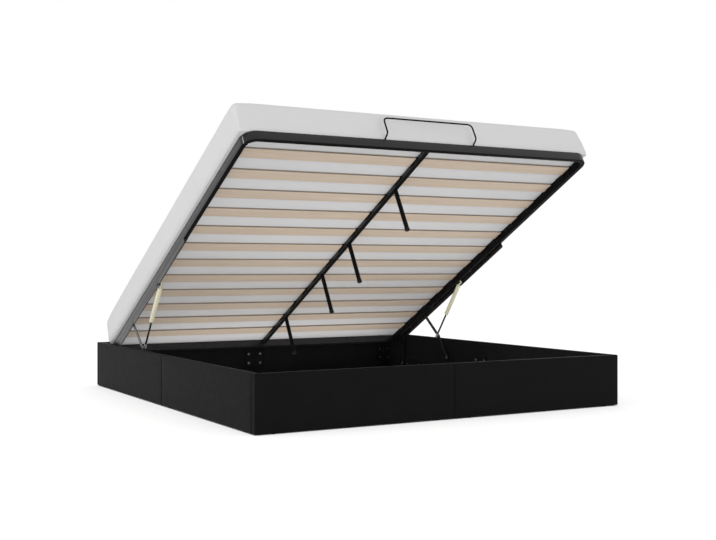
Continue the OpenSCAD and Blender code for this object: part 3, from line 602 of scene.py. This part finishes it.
# Bevel widths of the edges
NO_EDGE = 0.0
TUBE_EDGE, SLAT_EDGE, PLATE_EDGE = 0.0022, 0.0012, 0.0006
SMALL_EDGE, ROD_EDGE, WIRE_EDGE = 0.0005, 0.0003, 0.0002

WELD_REACH = 0.00002
FLAT_ANGLE, SHARP_ANGLE = math.radians(1), math.radians(40)
BEVEL_STEPS = 3
TURNED = 0.5  # the least cosine at which a face counts as turned away


def takes_painted_shade(face):
    """Whether a face of the lid's frame looks down or in, where the matt coat goes as painted shade."""
    inward = -math.copysign(1, face.center.x) if abs(face.center.x) > FRAME_SIDE else 0
    return face.normal.dot(LID_DOWN) > TURNED or face.normal.x * inward > TURNED


def dress(name, material, bevel, painted_shade_coat=None):
    """Gives a CAD node its material, and if asked a second one as painted shade on the faces that look
    down or in, and bevels its edges.
    """
    piece = nodes[name]
    piece.data.materials.clear()
    piece.data.materials.append(material)
    # The faces that look down or in take the second material, a shine-less coat that paints in their
    # shade.
    if painted_shade_coat:
        piece.data.materials.append(painted_shade_coat)
        for face in piece.data.polygons:
            face.material_index = int(takes_painted_shade(face))
    if bevel:
        piece.data.polygons.foreach_set("use_smooth", [True] * len(piece.data.polygons))
        weld = piece.modifiers.new("weld", "WELD")
        weld.merge_threshold = WELD_REACH
        flat = piece.modifiers.new("flat", "DECIMATE")
        flat.decimate_type = "DISSOLVE"
        flat.angle_limit = FLAT_ANGLE
        edge = piece.modifiers.new("edge", "BEVEL")
        edge.width = bevel
        edge.segments = BEVEL_STEPS
        edge.limit_method = "ANGLE"
        edge.angle_limit = SHARP_ANGLE
        edge.harden_normals = True


# ---- Studio ----

WORLD_LIGHT, FLOOR_GLOW = 0.66, 0.5
FLOOR_HALF = 30
LAMPS = (  # name, place, aim, size, watts
    ("front_low", (-0.4, -5.7, 0.7), (0.4, 0, 0.6), (3.4, 3.0), 68),
    ("left_high", (-6.8, 0.0, 1.9), (0, 0.6, 0.2), (4.0, 4.0), 92),
    ("from_the_box_front", (0.05, -0.55, 0.06), (0.05, -0.5, 1), (1.7, 0.7), 3.4),
    ("from_the_box_rear", (-0.03, 0.68, 0.05), (-0.03, 0.68, 1), (1.74, 0.42), 1.35),
)


def add_stage():
    """A pale floor that keeps the shadow. Outside the box it glows, to the camera and in reflections."""
    mesh = bpy.data.meshes.new("floor")
    corners = [(x * FLOOR_HALF, y * FLOOR_HALF, 0) for x, y in ((-1, -1), (1, -1), (1, 1), (-1, 1))]
    mesh.from_pydata(corners, [], [(0, 1, 2, 3)])
    m = Nodes("studio_floor")
    m.set(Base_Color=m.mix(m.noise(m.place(), 3, 3), (0.80, 0.80, 0.80), (0.82, 0.82, 0.82)),
          Roughness=0.9,
          Specular_IOR_Level=0.1)
    path = m.add("ShaderNodeLightPath")
    seen = m.math("MAXIMUM", path.outputs["Is Camera Ray"], path.outputs["Is Glossy Ray"])
    x, y, _ = m.apart()
    outside = m.math("MAXIMUM", m.math("GREATER_THAN", x, BOX_W / 2),
                     m.math("GREATER_THAN", y, BOX_L / 2))
    glow = m.add("ShaderNodeEmission")
    m.link(m.math("MULTIPLY", m.math("MULTIPLY", seen, outside), FLOOR_GLOW), glow.inputs["Strength"])
    both = m.add("ShaderNodeAddShader")
    m.link(m.shader.outputs[0], both.inputs[0])
    m.link(glow.outputs[0], both.inputs[1])
    m.link(both.outputs[0], m.output.inputs["Surface"])
    floor = new_object("floor", mesh, m.material, smooth=False)


def add_world():
    """A white world that lights the object at a lower level than the one it shows."""
    world = bpy.data.worlds.new("studio")
    bpy.context.scene.world = world
    world.use_nodes = True
    tree = world.node_tree
    back = tree.nodes["Background"]
    path = tree.nodes.new("ShaderNodeLightPath")
    seen = tree.nodes.new("ShaderNodeMath")
    seen.operation = "MAXIMUM"
    tree.links.new(path.outputs["Is Camera Ray"], seen.inputs[0])
    tree.links.new(path.outputs["Is Glossy Ray"], seen.inputs[1])
    level = tree.nodes.new("ShaderNodeMapRange")
    level.inputs["To Min"].default_value = WORLD_LIGHT
    level.inputs["To Max"].default_value = 1.0
    tree.links.new(seen.outputs[0], level.inputs["Value"])
    tree.links.new(level.outputs["Result"], back.inputs["Strength"])
    back.inputs["Color"].default_value = (1, 1, 1, 1)


def add_lamp(name, place, aim, size, watts):
    """A soft lamp that neither the camera nor a reflection shows."""
    data = bpy.data.lights.new(name, "AREA")
    data.shape = "RECTANGLE"
    data.size, data.size_y = size
    data.energy = watts
    lamp = bpy.data.objects.new(name, data)
    lamp.location = place
    lamp.rotation_euler = (Vector(aim) - Vector(place)).to_track_quat("-Z", "Y").to_euler()
    lamp.visible_camera = lamp.visible_glossy = False
    bpy.context.scene.collection.objects.link(lamp)


# ---- The scene ----

add_camera()
add_world()
add_stage()
for lamp in LAMPS:
    add_lamp(*lamp)
bpy.context.scene.view_settings.view_transform = "Standard"

leather_black = leather()
steel_satin = powder_coat("satin_black_powder_coat", 0.46, 0.31)
# The front tube's copy of the coat has less shine than the side tubes', so it renders darker: painted
# shade.
front_coat_painted_shade = powder_coat("front_black_powder_coat", 0.36, 0.31)
# The matt coat is the finish of the retainer, brackets, plates and legs; on the lid frame's undersides
# and inner faces it is painted shade.
matt_coat_and_painted_shade = powder_coat("matt_black_powder_coat", 0.05, 0.5)
steel_zinc = zinc("zinc_plated_steel", (0.50, 0.51, 0.53), (0.68, 0.69, 0.70))
# A darker copy of the zinc, for the bolts and pivots inside the box: painted shade of the box's
# interior.
zinc_in_painted_shade = zinc("dull_zinc_steel", (0.18, 0.18, 0.19), (0.27, 0.27, 0.28))
plastic_black = plastic()
slat_birch = slat_wood()
board_brown = fibreboard()
cloth_white = mattress_cloth()
paint_cream = cream_paint()
rod_dark = rod_steel()

# Beginnings of names, material, bevel width, and the painted shade material for the faces that look down
# or in
FINISHES = (
    (("foot_boards", "head_boards", "left_boards", "right_boards"), board_brown, NO_EDGE),
    (("slat_row",), slat_birch, SLAT_EDGE),
    (("glides", "tube_plugs", "slat_holders", "leg_feet"), plastic_black, SMALL_EDGE),
    (("lid_pivots",), steel_satin, SMALL_EDGE),
    (("panel_bolts", "base_pivots", "bracket_screws"), zinc_in_painted_shade, SMALL_EDGE),
    # Painted shade: the joiners' zinc turns to the matt black coat on their faces that look down or in.
    (("frame_joiners",), steel_zinc, SMALL_EDGE, matt_coat_and_painted_shade),
    (("gas_end_fittings",), steel_zinc, SMALL_EDGE),
    (("gas_cylinder",), paint_cream, PLATE_EDGE),
    (("gas_rod",), rod_dark, ROD_EDGE),
    # Painted shade: the front tube's coat is a less shiny copy of the side tubes' coat, so it renders
    # darker.
    (("front_tube",), front_coat_painted_shade, TUBE_EDGE, matt_coat_and_painted_shade),
    # Painted shade: the tubes' faces that look down or in take the matt coat.
    (("tube_left", "tube_right", "rear_tube", "spine_tube"), steel_satin, TUBE_EDGE, matt_coat_and_painted_shade),
    (("lift_bracket", "arm_", "rear_link"), steel_satin, PLATE_EDGE),
    (("mattress_retainer",), matt_coat_and_painted_shade, WIRE_EDGE),
    (("corner_brackets", "joint_plates", "lift_plate", "leg_"), matt_coat_and_painted_shade, PLATE_EDGE),
)

for name in nodes:
    if "_cover_" in name:
        cover_piece(name, leather_black)
    for beginnings, *finish in FINISHES:
        if name.startswith(beginnings):
            dress(name, *finish)
            break
add_mattress(cloth_white)
